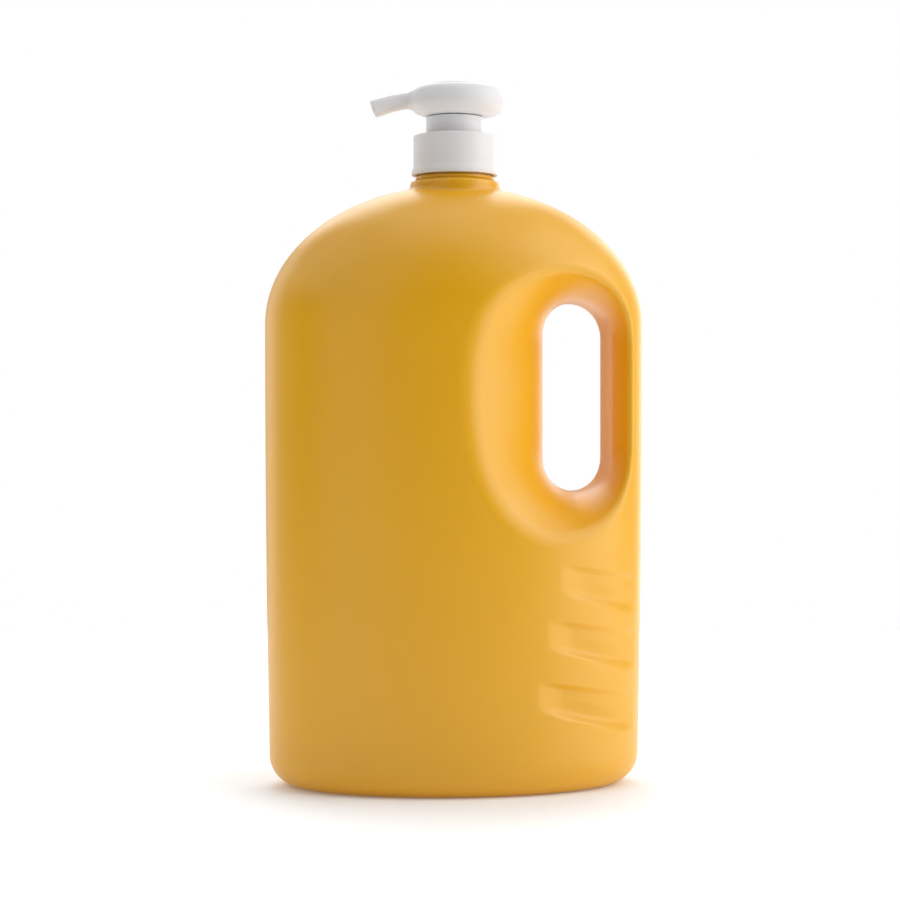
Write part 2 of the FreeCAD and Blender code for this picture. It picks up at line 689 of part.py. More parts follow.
def actuator_base():
    """Lower shell that closes the head, with the boss that screws down into the chaplet."""
    shell = below_seam(puck(HEAD_SEAM_STEP).cut(puck(HEAD_WALL + HEAD_SEAM_STEP)))
    boss = ring(BOSS_RADIUS, BOSS_RADIUS - BOSS_WALL, BOSS_BOTTOM, HEAD_BOTTOM + HEAD_WALL)
    ridge = helical_ridge(
        BOSS_RADIUS - THREAD_BITE, LOCK_RIDGE_RADIUS, THREAD_HALF_ROOT, THREAD_HALF_CREST,
        LOCK_START_Z, LOCK_PITCH, LOCK_TURNS,
    )
    solid = shell.fuse([boss, ridge])
    return solid.cut(disc(SOCKET_RADIUS + SOCKET_GAP, HEAD_BOTTOM - OVERLAP, HEAD_SEAM))


def write_parts():
    builders = (
        bottle, closure, neck_gasket, chaplet, pump_housing, stem, piston, piston_seat,
        return_spring, inlet_ball, outlet_ball, dip_tube, actuator_head, actuator_base,
    )
    os.makedirs("parts", exist_ok=True)
    for build in builders:
        solid = build()
        print(build.__name__, solid.isValid(), len(solid.Solids), round(solid.Volume))
        solid.exportStep(os.path.join("parts", build.__name__ + ".step"))


write_parts()
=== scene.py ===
import json
import math

import bmesh
import bpy
import numpy as np
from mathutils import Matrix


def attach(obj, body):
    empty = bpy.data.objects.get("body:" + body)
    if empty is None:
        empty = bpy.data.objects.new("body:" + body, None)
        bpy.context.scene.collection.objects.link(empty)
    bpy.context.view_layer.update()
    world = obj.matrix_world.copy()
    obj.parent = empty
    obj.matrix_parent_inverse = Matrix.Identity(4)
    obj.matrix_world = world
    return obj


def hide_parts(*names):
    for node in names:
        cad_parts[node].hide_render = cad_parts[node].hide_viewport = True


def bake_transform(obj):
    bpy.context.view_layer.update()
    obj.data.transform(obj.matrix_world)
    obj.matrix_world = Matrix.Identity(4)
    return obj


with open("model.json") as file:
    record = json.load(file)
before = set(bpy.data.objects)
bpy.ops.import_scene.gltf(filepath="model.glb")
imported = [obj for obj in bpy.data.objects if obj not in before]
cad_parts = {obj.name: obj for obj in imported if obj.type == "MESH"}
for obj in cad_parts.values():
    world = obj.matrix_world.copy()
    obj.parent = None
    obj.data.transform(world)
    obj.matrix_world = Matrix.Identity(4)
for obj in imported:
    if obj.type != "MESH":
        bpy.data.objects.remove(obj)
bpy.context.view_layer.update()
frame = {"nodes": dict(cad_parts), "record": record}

# Detergent jug with a screw-on hand pump, dressed for the camera.
# Shapes are written in millimetres and turned into metres when a mesh is made.
# X goes to the right of the photograph, Y away from the camera and Z up from the floor.
MM = 0.001

# Jug body
HALF_WIDTH_SHOULDER = 96.5
HALF_WIDTH_BASE = 94.3
HALF_DEPTH_SHOULDER = 65.0
DEPTH_RATIO = HALF_DEPTH_SHOULDER / HALF_WIDTH_SHOULDER
SHOULDER_Z = 233.3
DOME_HEIGHT = 70.6
BASE_CORNER = 16.0
PUSH_UP = 6.0
PUSH_UP_HALF_WIDTH = 66.0
WALL = 1.3

# Handle: a through hole in the floor of two opposite dishes that flare out to an egg-shaped mouth
HOLE_X = 60.8
HOLE_Z = 196.8
HOLE_HALF_WIDTH = 16.3
HOLE_HALF_HEIGHT = 47.8
HOLE_EDGE_RADIUS = 2.0
DISH_MOUTH_Y = 70.0
DISH_MOUTH_LEFT = 68.0
DISH_MOUTH_RIGHT = 62.0
DISH_MOUTH_UP = 77.0
DISH_MOUTH_DOWN = 85.4
DISH_FLOOR_HALF_WIDTH = 15.8
DISH_FLOOR_HALF_HEIGHT = 47.0
DISH_FLOOR_STRAIGHT = 32.2
DISH_SQUARENESS = 2.2
DISH_WEB_HALF = 3.0
DISH_FLARE = 1.8
DISH_RIM_RADIUS = 4.0

# Grip pockets: three on each face, low on the handle side, with a wedge-shaped hollow above each lip
POCKET_LEFT_X = (43.5, 36.5, 31.0)
POCKET_TOP_Z = (114.7, 87.7, 57.7)
POCKET_HEIGHT = 16.8
POCKET_TOP_SLOPE = math.tan(math.radians(9.5))
POCKET_LIP_SLOPE = math.tan(math.radians(14.0))
POCKET_SINK_X = 2.2
POCKET_SINK_Y = 3.5
POCKET_TOP_RAMP = 3.4
POCKET_END_RAMP = 16.0
POCKET_LIP_RAMP = 5.0
POCKET_WEDGE = 0.6
POCKET_WEDGE_RAMP = 7.0
POCKET_WEDGE_START = 6.0
POCKET_WEDGE_RUN = 22.0

# Neck
NECK_RING_RADIUS = 22.6
NECK_RING_TOP = 306.4
NECK_RING_ROUND = 1.6
NECK_RING_FILLET = 1.5
NECK_STEP_RADIUS = 19.7
NECK_BEAD_RADIUS = 18.4
NECK_BEAD_TOP = 310.4
NECK_BEAD_ROUND = 0.5
NECK_BEAD_FILLET = 0.3
NECK_RADIUS = 17.5
NECK_TOP = 323.75
NECK_BORE = 14.6
NECK_LIP_ROUND = 0.6
NECK_JOIN_Z = 308.4
NECK_ROOT_Z = 296.0

# Screw thread between neck and closure
THREAD_PITCH = 4.2
THREAD_TURNS = 1.5
THREAD_START_Z = 312.4
THREAD_HALF_ROOT = 1.0
THREAD_HALF_CREST = 0.6
THREAD_BITE = 0.3
THREAD_RUNOUT_TURNS = 1 / 12
NECK_THREAD_CREST = 18.6
CLOSURE_THREAD_CREST = 17.8

# Closure
CLOSURE_BOTTOM = 309.3
CLOSURE_TOP = 329.8
CLOSURE_ROOF = 1.8
CLOSURE_RADIUS = 21.0
CLOSURE_LIP_RADIUS = 21.9
CLOSURE_LIP_HEIGHT = 2.2
CLOSURE_BORE = 19.0
CLOSURE_TOP_HOLE = 14.75
CLOSURE_MOUTH_ROUND = 0.4
CLOSURE_LIP_LOWER_ROUND = 0.5
CLOSURE_LIP_UPPER_ROUND = 0.8
CLOSURE_WAIST_ROUND = 1.0
CLOSURE_TOP_ROUND = 1.2
CLOSURE_HOLE_ROUND = 0.3
CLOSURE_ROOF_FILLET = 0.6

# Chaplet
FLANGE_RADIUS = 16.8
FLANGE_ROUND = 0.2
CHAPLET_FLANGE_TOP = 327.95
CHAPLET_FLANGE_BOTTOM = 326.45
CHAPLET_RADIUS = 14.5
CHAPLET_TOP = 339.2
CHAPLET_TOP_ROUND = 0.7
CHAPLET_WELL = 11.6
CHAPLET_WELL_ROUND = 0.4
CHAPLET_WELL_FLOOR = 330.2
CHAPLET_WELL_FILLET = 0.3
CHAPLET_GUIDE = 4.6
CHAPLET_GUIDE_ROUND = 0.3
CHAPLET_PLUG = 8.98
CHAPLET_PLUG_ROUND = 0.4
CHAPLET_PLUG_BORE = 6.4
CHAPLET_PLUG_BORE_ROUND = 0.2
CHAPLET_PLUG_BOTTOM = 321.9

# Press head: a puck with a pad on top, a stem socket inside and a lower shell that laps up behind the seam
HEAD_OFFSET = 1.5
HEAD_HALF_LENGTH = 25.1
HEAD_HALF_WIDTH = 21.4
HEAD_BOTTOM = 339.5
HEAD_TOP = 355.0
HEAD_UPPER_ROUND = 7.6
HEAD_EQUATOR = HEAD_TOP - HEAD_UPPER_ROUND
HEAD_FLAT_RADIUS = 14.6
HEAD_SEAM = 341.5
HEAD_SEAM_STEP = 0.06
HEAD_SEAM_LAP = 0.5
HEAD_WALL = 1.8
PAD_HALF_LENGTH = 14.6
PAD_HALF_WIDTH = 12.6
PAD_TOP = 356.0
PAD_ROUND = 0.9
PAD_DISH = 0.6
PAD_FILLET = 0.8
SOCKET_RADIUS = 6.4
SOCKET_BOTTOM = 340.6
SOCKET_GAP = 0.1
STEM_RADIUS = 4.5
STEM_TOP = 347.0

# The head's boss and the thread on it that locks the head down
BOSS_RADIUS = 10.9
BOSS_WALL = 1.6
BOSS_BOTTOM = 331.2
LOCK_PITCH = 3.0
LOCK_TURNS = 1.5
LOCK_START_Z = 332.6
LOCK_RIDGE_RADIUS = 11.3

# Nozzle: straight out of the head and then bent down
NOZZLE_Z = 347.9
NOZZLE_ROOT_RADIUS = 3.4
NOZZLE_TIP_RADIUS = 4.65
NOZZLE_BORE = 2.1
NOZZLE_STRAIGHT = 14.0
NOZZLE_BEND = 74.0
NOZZLE_DROOP = math.radians(22.0)
NOZZLE_CURVE = NOZZLE_BEND * NOZZLE_DROOP
NOZZLE_EDGE = 0.5
NOZZLE_FILLET = 2.5

# Return spring, drawn compressed
SPRING_WIRE = 0.55
SPRING_RADIUS = 6.6
SPRING_COILS = 7.5
SPRING_BOTTOM = 276.2
SPRING_TOP = 294.26
SPRING_GAP = 0.05
SPRING_STEPS_PER_COIL = 40
SPRING_WIRE_SIDES = 10

# Mesh fineness: grid steps, and how far each grid reaches beyond its piece
COARSER = 1.0
WIDE_STEP = 2.0 * COARSER
FINE_STEP = 1.1 * COARSER
DEPTH_STEP = (WIDE_STEP + FINE_STEP) / 2
POCKET_STEP = 0.9 * COARSER
CAVITY_STEP = 3.0 * COARSER
HEAD_STEP = 0.5 * COARSER
JUG_MARGIN = 8.0
HEAD_MARGIN = 2.0
HEAD_END_MARGIN = 4.0
HEAD_UNDER_MARGIN = 3.0
LATHE_SEGMENTS = 96
CORNER_POINTS = 4
SHARP_ANGLE = math.radians(35)

# Settling of mesh points: the move and the face's reach are shares of a grid step
SETTLE_ROUNDS = 3
RELAX_ROUNDS = 2
LONGEST_MOVE = 0.5
FACE_REACH = 1 / 3
SLOPE_STEP = 0.01
LOWEST_SLOPE = 0.02
LOWEST_NORMAL = 2.0e-5

# Camera, as the photograph was taken
CAMERA_AZIMUTH = math.radians(-8.0)
CAMERA_DISTANCE = 1.224
CAMERA_HEIGHT = 0.1696
CAMERA_SIDESTEP = 0.0024
CAMERA_LENS = 96.0
CAMERA_SENSOR = 36.0

# Floor disc; each row of its glow is a distance from the middle in metres and the strength there
FLOOR_RADIUS = 1.1
FLOOR_GLOW = ((0.085, 0.12), (0.17, 0.3), (0.7, 0.42))

# White surround: its light grows between two values of a direction's Y part
WORLD_STRENGTH = 0.39
WORLD_DARK_Y = -0.1
WORLD_FULL_Y = 0.5

# Soft boxes, all aimed at one point from the same distance in metres
LIGHT_TARGET = (0, 0, 0.18)
LIGHT_DISTANCE = 1.4

# Each soft box: name, azimuth and elevation in degrees, width and height in metres, power in watts
LIGHTS = (
    ("right_key", 71, 12, 1.3, 1.2, 10.8),
    ("right_back", 145, 12, 0.5, 1.2, 3.8),
    ("left_back", -140, 12, 0.8, 1.2, 3.0),
    ("left_front", -50, 12, 1.0, 1.2, 2.2),
    ("high_front_left", -40, 45, 1.0, 1.0, 1.6),
    ("high_front_right", 45, 45, 1.0, 1.0, 2.9),
    ("high_left", -90, 45, 1.0, 1.0, 3.1),
    ("high_right", 85, 45, 1.0, 1.0, 5.2),
    ("high_back", 180, 45, 1.0, 1.0, 8.2),
    ("overhead", 0, 85, 1.0, 1.0, 4.3),
)


# Fields: a field is negative inside a solid and grows to the outside

def rounded_and(first, second, radius):
    """What two fields share, with the edge between them rounded."""
    beyond = np.hypot(np.maximum(first + radius, 0), np.maximum(second + radius, 0))
    return beyond + np.minimum(np.maximum(first, second), -radius)


def rounded_or(first, second, radius):
    """Two fields joined, with a fillet in the corner between them."""
    return -rounded_and(-first, -second, radius)


def slopes(field, x, y, z):
    """A field's value at each place, and how fast it grows there along X, Y and Z."""
    value = field(x, y, z)
    growth = (
        field(x + SLOPE_STEP, y, z) - value,
        field(x, y + SLOPE_STEP, z) - value,
        field(x, y, z + SLOPE_STEP) - value,
    )
    return value, np.stack(growth, axis=-1) / SLOPE_STEP


def evened(field):
    """The same field divided by its own slope, so that it is close to a distance in millimetres."""
    def distance(x, y, z):
        value, slope = slopes(field, x, y, z)
        return value / np.maximum(np.linalg.norm(slope, axis=-1), LOWEST_SLOPE)
    return distance


def ramp(distance, width):
    """0 up to a line, 1 from a width beyond it, with a soft S between."""
    part = np.clip(distance / width, 0, 1)
    return part * part * (3 - 2 * part)


def round_bar(x, y, radius):
    """An endless upright cylinder about Z."""
    return np.hypot(x, y) - radius


def jug_form(x, y, z):
    """The plain jug: oval sides drawn in towards the foot, domed top, rounded foot, pushed-up base."""
    rho = np.hypot(x, y / DEPTH_RATIO)
    below = np.clip((SHOULDER_Z - z) / (SHOULDER_Z - BASE_CORNER), 0, 1)
    half = HALF_WIDTH_SHOULDER - (HALF_WIDTH_SHOULDER - HALF_WIDTH_BASE) * below ** 2
    rise = np.maximum(z - SHOULDER_Z, 0)
    side = (np.hypot(rho / half, rise / DOME_HEIGHT) - 1) * half
    arch = PUSH_UP * np.maximum(1 - (rho / PUSH_UP_HALF_WIDTH) ** 2, 0)
    return rounded_and(side, arch - z, BASE_CORNER)


def pocket_depth(x, y, z):
    """How far the grip pockets sink the jug's side at each point."""
    normal_x = x / HALF_WIDTH_SHOULDER ** 2
    normal_y = np.abs(y) / HALF_DEPTH_SHOULDER ** 2
    sink = POCKET_SINK_Y * normal_y - POCKET_SINK_X * normal_x
    sink = np.maximum(sink, 0) / np.hypot(normal_x, normal_y).clip(min=LOWEST_NORMAL)
    depth = np.zeros_like(x)
    for left, top in zip(POCKET_LEFT_X, POCKET_TOP_Z):
        run = x - left
        below_top = top - run * POCKET_TOP_SLOPE - z
        above_lip = z - top + POCKET_HEIGHT + run * POCKET_LIP_SLOPE
        lip = ramp(above_lip, POCKET_LIP_RAMP)
        wedge = 1 - ramp(above_lip - POCKET_LIP_RAMP, POCKET_WEDGE_RAMP)
        wedge = 1 + POCKET_WEDGE * wedge * ramp(run - POCKET_WEDGE_START, POCKET_WEDGE_RUN)
        depth += sink * lip * wedge * ramp(run, POCKET_END_RAMP) * ramp(below_top, POCKET_TOP_RAMP)
    return depth


def dish_form(x, y, z):
    """Both dishes at once: a straight-sided slot at the web, an egg at the jug's face."""
    depth = np.clip((np.abs(y) - DISH_WEB_HALF) / (DISH_MOUTH_Y - DISH_WEB_HALF), 0, None)
    spread = depth ** DISH_FLARE
    across = x - HOLE_X
    along = z - HOLE_Z
    mouth_x = np.where(across > 0, DISH_MOUTH_RIGHT, DISH_MOUTH_LEFT)
    mouth_z = np.where(along > 0, DISH_MOUTH_UP, DISH_MOUTH_DOWN)
    half_x = DISH_FLOOR_HALF_WIDTH + (mouth_x - DISH_FLOOR_HALF_WIDTH) * spread
    half_z = DISH_FLOOR_HALF_HEIGHT + (mouth_z - DISH_FLOOR_HALF_HEIGHT) * spread
    straight = DISH_FLOOR_STRAIGHT * np.clip(1 - spread, 0, 1) ** 2
    rise = np.maximum(np.abs(along) - straight, 0) / (half_z - straight)
    total = (np.abs(across) / half_x) ** DISH_SQUARENESS + rise ** DISH_SQUARENESS
    return (total ** (1 / DISH_SQUARENESS) - 1) * DISH_FLOOR_HALF_WIDTH


def hole_form(x, z):
    """The handle's through hole, a slot with round ends."""
    reach = HOLE_HALF_HEIGHT - HOLE_HALF_WIDTH
    along = np.maximum(np.abs(z - HOLE_Z) - reach, 0)
    return np.hypot(x - HOLE_X, along) - HOLE_HALF_WIDTH


jug_distance = evened(jug_form)
dish_distance = evened(dish_form)


def carved_jug(x, y, z):
    """The jug with its dishes, handle hole and pockets, without the neck."""
    body = jug_distance(x, y, z) + pocket_depth(x, y, z)
    dished = rounded_and(body, -dish_distance(x, y, z), DISH_RIM_RADIUS)
    return rounded_and(dished, -hole_form(x, z), HOLE_EDGE_RADIUS)


def neck_span(z, top):
    """Negative from the neck's root up to a height, and for as far below the root."""
    return np.abs(z - NECK_ROOT_Z) - top + NECK_ROOT_Z


def jug_outside(x, y, z):
    """The carved jug with the ring and step of its neck."""
    ring = rounded_and(round_bar(x, y, NECK_RING_RADIUS), neck_span(z, NECK_RING_TOP), NECK_RING_ROUND)
    step = np.maximum(round_bar(x, y, NECK_STEP_RADIUS), neck_span(z, NECK_TOP))
    solid = rounded_or(carved_jug(x, y, z), ring, NECK_RING_FILLET)
    return np.minimum(solid, step)


def jug_cavity(x, y, z):
    """The space inside the jug, up into the neck."""
    bore = np.maximum(round_bar(x, y, NECK_BORE), neck_span(z, NECK_TOP))
    return np.minimum(carved_jug(x, y, z) + WALL, bore)


def puck_form(x, y, z):
    """The head's puck: a rounded rim above its widest line, an elliptic bowl below."""
    rho = np.hypot(x - HEAD_OFFSET, y * HEAD_HALF_LENGTH / HEAD_HALF_WIDTH)
    above = rounded_and(rho - HEAD_HALF_LENGTH, z - HEAD_TOP, HEAD_UPPER_ROUND)
    bowl_height = HEAD_EQUATOR - HEAD_BOTTOM
    across = np.maximum(rho - HEAD_FLAT_RADIUS, 0) / (HEAD_HALF_LENGTH - HEAD_FLAT_RADIUS)
    down = np.maximum(HEAD_EQUATOR - z, 0) / bowl_height
    return np.maximum(above, (np.hypot(across, down) - 1) * bowl_height)


puck_distance = evened(puck_form)


def pad_form(x, y, z):
    """Raised oval pad on the head with a shallow hollow for the palm."""
    rho = np.hypot(x, y * PAD_HALF_LENGTH / PAD_HALF_WIDTH)
    hollow = PAD_DISH * np.maximum(1 - (rho / (PAD_HALF_LENGTH - PAD_ROUND)) ** 2, 0)
    pad = rounded_and(rho - PAD_HALF_LENGTH, z - PAD_TOP + hollow, PAD_ROUND)
    return np.maximum(pad, HEAD_EQUATOR - z)


def nozzle_run(x, z):
    """Place along the nozzle's centre line, and height above it in the plane of the bend."""
    bend_x = -NOZZLE_STRAIGHT - x
    bend_z = z - NOZZLE_Z + NOZZLE_BEND
    bent = bend_x > 0
    along = np.where(bent, NOZZLE_BEND * np.arctan2(bend_x, bend_z), bend_x)
    above = np.where(bent, np.hypot(bend_x, bend_z) - NOZZLE_BEND, z - NOZZLE_Z)
    return along, above


def nozzle_form(x, y, z):
    """Nozzle bar that widens a little towards its drooping tip, without its bore."""
    along, above = nozzle_run(x, z)
    part = np.clip((along + NOZZLE_STRAIGHT) / (NOZZLE_STRAIGHT + NOZZLE_CURVE), 0, 1)
    radius = NOZZLE_ROOT_RADIUS + (NOZZLE_TIP_RADIUS - NOZZLE_ROOT_RADIUS) * part
    bar = rounded_and(np.hypot(y, above) - radius, along - NOZZLE_CURVE, NOZZLE_EDGE)
    return np.maximum(bar, x)


def nozzle_bore(x, y, z):
    """The channel along the nozzle, from the stem socket out through the tip."""
    above = nozzle_run(x, z)[1]
    return np.maximum(np.hypot(y, above) - NOZZLE_BORE, x)


def head_outside(x, y, z):
    """Outer form of the whole press head: puck, pad and nozzle run into each other."""
    outside = rounded_or(puck_distance(x, y, z), nozzle_form(x, y, z), NOZZLE_FILLET)
    return rounded_or(outside, pad_form(x, y, z), PAD_FILLET)


def head_shell(x, y, z):
    """Upper shell of the press head with pad, nozzle and stem socket."""
    puck = puck_distance(x, y, z)
    lower_half = np.maximum(z - HEAD_SEAM, puck - HEAD_SEAM_STEP)
    outside = np.maximum(head_outside(x, y, z), -lower_half)
    cavity = np.maximum(puck + HEAD_WALL, z - HEAD_TOP + HEAD_WALL)
    shell = np.maximum(outside, -cavity)
    socket = round_bar(x, y, SOCKET_RADIUS)
    socket = np.maximum(socket, np.maximum(SOCKET_BOTTOM - z, z - HEAD_TOP))
    inner_nozzle = np.maximum(nozzle_form(x, y, z), np.maximum(puck, HEAD_SEAM - z))
    shell = np.minimum(shell, np.minimum(socket, inner_nozzle))
    stem_hole = np.maximum(round_bar(x, y, STEM_RADIUS), z - STEM_TOP)
    shell = np.maximum(shell, -stem_hole)
    return rounded_and(shell, -nozzle_bore(x, y, z), NOZZLE_EDGE)


def base_outside(x, y, z):
    """Outer form of the head's lower shell, a hair inside the upper shell's."""
    return puck_distance(x, y, z) + HEAD_SEAM_STEP


def head_base(x, y, z):
    """Lower shell that closes the head, with the boss that goes down into the chaplet."""
    puck = base_outside(x, y, z)
    shell = np.maximum(puck, -(puck + HEAD_WALL))
    shell = np.maximum(shell, z - HEAD_SEAM - HEAD_SEAM_LAP)
    radius = np.hypot(x, y)
    boss = np.maximum(radius - BOSS_RADIUS, BOSS_RADIUS - BOSS_WALL - radius)
    boss = np.maximum(boss, np.maximum(BOSS_BOTTOM - z, z - HEAD_BOTTOM - HEAD_WALL))
    return np.maximum(np.minimum(shell, boss), SOCKET_RADIUS + SOCKET_GAP - radius)


# From a field to a mesh

def crossings(values, axis):
    """Grid edges along one axis whose two ends lie on different sides of the surface."""
    count = values.shape[axis]
    first = np.take(values, range(count - 1), axis)
    second = np.take(values, range(1, count), axis)
    index = np.argwhere((first < 0) != (second < 0))
    start = first[tuple(index.T)]
    end = second[tuple(index.T)]
    return index, start, end


def planes(*runs):
    """Grid planes along one axis, from runs of (start, end, step)."""
    return np.concatenate([np.arange(start, end, step) for start, end, step in runs])


def even_grid(low, high, step):
    """Grid planes one step apart along all three axes of a box."""
    return [planes((start, end + step, step)) for start, end in zip(low, high)]


def surface_net(field, grid):
    """One point in each grid cell that the surface passes through, and the quads between them."""
    counts = [len(axis) for axis in grid]
    slabs = [field(*np.meshgrid(here, grid[1], grid[2], indexing="ij")) for here in grid[0]]
    values = np.concatenate(slabs)
    unit = np.eye(3, dtype=int)
    quads = []
    spots = []
    for axis in range(3):
        index, start, end = crossings(values, axis)
        side = unit[(axis + 1) % 3]
        up = unit[(axis + 2) % 3]
        here = np.stack([grid[way][index[:, way]] for way in range(3)], axis=1)
        gap = np.diff(grid[axis])[index[:, axis]]
        spots.append(here + np.outer(gap * start / (start - end), unit[axis]))
        around = (index - side - up, index - up, index, index - side)
        quad = np.stack([np.ravel_multi_index(cell.T, counts) for cell in around], axis=1)
        leaving = start < 0
        quads.append(np.where(leaving[:, None], quad, quad[:, ::-1]))
    quads = np.concatenate(quads)
    spots = np.repeat(np.concatenate(spots), 4, axis=0)
    corner = np.unique(quads, return_inverse=True)[1].ravel()
    shares = np.bincount(corner)
    points = np.stack([np.bincount(corner, spots[:, axis]) / shares for axis in range(3)], axis=1)
    return points, corner.reshape(-1, 4)


def settled(field, points, step):
    """Points moved along the field's slope onto its surface."""
    for _ in range(SETTLE_ROUNDS):
        value, slope = slopes(field, *points.T)
        steepness = np.maximum((slope ** 2).sum(axis=1), LOWEST_SLOPE)
        move = -slope * (value / steepness)[:, None]
        length = np.maximum(np.linalg.norm(move, axis=1), LOWEST_SLOPE)
        points = points + move * np.minimum(1, LONGEST_MOVE * step / length)[:, None]
    return points


def relaxed(points, quads):
    """Points moved to the middle of their neighbours, which evens out the quads."""
    first = quads.ravel()
    second = np.roll(quads, -1, axis=1).ravel()
    start = np.concatenate([first, second])
    end = np.concatenate([second, first])
    shares = np.bincount(start, minlength=len(points))
    sums = [np.bincount(start, points[end, axis], len(points)) for axis in range(3)]
    return np.stack(sums, axis=1) / shares[:, None]


def skin(field, grid, step, face=None):
    """Points, quads and outward directions of a field's surface.

    Step limits how far points settle. Points on the surface of the face field take its direction,
    which keeps a cut edge crisp.
    """
    points, quads = surface_net(field, grid)
    points = settled(field, points, step)
    for _ in range(RELAX_ROUNDS):
        points = settled(field, (points + relaxed(points, quads)) / 2, step)
    slope = slopes(field, *points.T)[1]
    if face is not None:
        away, face_slope = slopes(face, *points.T)
        on_face = np.abs(away) < FACE_REACH * step
        slope = np.where(on_face[:, None], face_slope, slope)
    outward = slope / np.linalg.norm(slope, axis=1)[:, None].clip(min=LOWEST_SLOPE)
    return points, quads, outward


def cut_level(points, quads, outward, height):
    """Keeps the quads that reach below a height, with their upper edge drawn level there."""
    quads = quads[(points[quads, 2] < height).any(axis=1)]
    used, corner = np.unique(quads, return_inverse=True)
    points = points[used]
    points[:, 2] = np.minimum(points[:, 2], height)
    return points, corner.reshape(-1, 4), outward[used]


def close_lip(mesh):
    """Joins the two open edges of a mesh by a ring of faces."""
    shell = bmesh.new()
    shell.from_mesh(mesh)
    edges = [edge for edge in shell.edges if edge.is_boundary]
    bmesh.ops.bridge_loops(shell, edges=edges)
    shell.to_mesh(mesh)
    shell.free()


def add_mesh(name, points, faces, material, outward=None):
    """A mesh object in metres from points in millimetres."""
    mesh = bpy.data.meshes.new(name)
    mesh.from_pydata((np.asarray(points) * MM).tolist(), [], [list(face) for face in faces])
    mesh.materials.append(material)
    mesh.shade_smooth()
    if outward is None:
        mesh.set_sharp_from_angle(angle=SHARP_ANGLE)
    else:
        mesh.normals_split_custom_set_from_vertices(outward.tolist())
    piece = bpy.data.objects.new(name, mesh)
    bpy.context.collection.objects.link(piece)
    return piece


# Turned and wound pieces

def softened(outline):
    """An outline of (radius, height, rounding) corners with each corner replaced by a short curve."""
    smooth = []
    for index, (r, z, rounding) in enumerate(outline):
        corner = np.array((r, z))
        before = np.array(outline[index - 1][:2]) - corner
        after = np.array(outline[(index + 1) % len(outline)][:2]) - corner
        if rounding == 0:
            smooth.append(corner)
            continue
        start = corner + before / np.linalg.norm(before) * rounding
        end = corner + after / np.linalg.norm(after) * rounding
        for t in np.linspace(0, 1, CORNER_POINTS + 1):
            smooth.append(start * (1 - t) ** 2 + corner * 2 * t * (1 - t) + end * t ** 2)
    return np.array(smooth)


def lathe(outline):
    """Points and quads of a closed outline, given anticlockwise in (radius, height), turned about Z."""
    count = len(outline)
    angles = 2 * np.pi * np.arange(LATHE_SEGMENTS) / LATHE_SEGMENTS
    radius = outline[None, :, 0]
    points = np.stack([
        radius * np.cos(angles)[:, None],
        radius * np.sin(angles)[:, None],
        np.repeat(outline[None, :, 1], LATHE_SEGMENTS, axis=0),
    ], axis=2).reshape(-1, 3)
    quads = []
    for turn in range(LATHE_SEGMENTS):
        here = turn * count
        there = (turn + 1) % LATHE_SEGMENTS * count
        for index in range(count):
            following = (index + 1) % count
            quads.append((here + index, there + index, there + following, here + following))
    return points, quads


def tube_faces(count, sides):
    """Faces along a tube of count + 1 rings of points, with a cap on each end."""
    faces = []
    for index in range(count):
        here = index * sides
        there = here + sides
        for side in range(sides):
            following = (side + 1) % sides
            faces.append((here + side, there + side, there + following, here + following))
    faces.append(tuple(range(sides)))
    faces.append(tuple(reversed(range(count * sides, (count + 1) * sides))))
    return faces


def thread(root, crest, start_z, pitch, turns):
    """Points and faces of a right-hand thread ridge whose two ends run out into the barrel."""
    count = int(LATHE_SEGMENTS * turns)
    section = (
        (root, -THREAD_HALF_ROOT),
        (crest, -THREAD_HALF_CREST),
        (crest, THREAD_HALF_CREST),
        (root, THREAD_HALF_ROOT),
    )
    points = []
    for index in range(count + 1):
        turn = index / LATHE_SEGMENTS
        angle = 2 * math.pi * turn
        height = min(1, min(turn, turns - turn) / THREAD_RUNOUT_TURNS)
        for radius, offset in section:
            reach = root + (radius - root) * height
            z = start_z + pitch * turn + offset
            points.append((reach * math.cos(angle), reach * math.sin(angle), z))
    return np.array(points), tube_faces(count, len(section))


def coil(radius, wire, bottom, top, turns):
    """Points and faces of an open coil spring of round wire."""
    count = int(SPRING_STEPS_PER_COIL * turns)
    points = []
    for index in range(count + 1):
        angle = 2 * math.pi * index / SPRING_STEPS_PER_COIL
        height = bottom + (top - bottom) * index / count
        for side in range(SPRING_WIRE_SIDES):
            spread = 2 * math.pi * side / SPRING_WIRE_SIDES
            reach = radius + wire * math.cos(spread)
            z = height + wire * math.sin(spread)
            points.append((reach * math.cos(angle), reach * math.sin(angle), z))
    return np.array(points), tube_faces(count, SPRING_WIRE_SIDES)


def joined(*shapes):
    """Several (points, faces) shapes as one."""
    points = []
    faces = []
    offset = 0
    for shape_points, shape_faces in shapes:
        points.append(np.asarray(shape_points))
        faces += [tuple(corner + offset for corner in face) for face in shape_faces]
        offset += len(shape_points)
    return np.concatenate(points), faces


# Materials

def new_material(name, color, roughness, **inputs):
    """A material with one Principled shader; further inputs are named with _ for each space."""
    material = bpy.data.materials.new(name)
    material.use_nodes = True
    shader = material.node_tree.nodes["Principled BSDF"]
    shader.inputs["Base Color"].default_value = (*color, 1)
    shader.inputs["Roughness"].default_value = roughness
    for label, value in inputs.items():
        shader.inputs[label.replace("_", " ")].default_value = value
    return material


def noise(material, scale):
    """A noise texture in the part's own metres."""
    tree = material.node_tree
    place = tree.nodes.new("ShaderNodeTexCoord")
    texture = tree.nodes.new("ShaderNodeTexNoise")
    texture.inputs["Scale"].default_value = scale
    tree.links.new(place.outputs["Object"], texture.inputs["Vector"])
    return texture.outputs["Fac"]


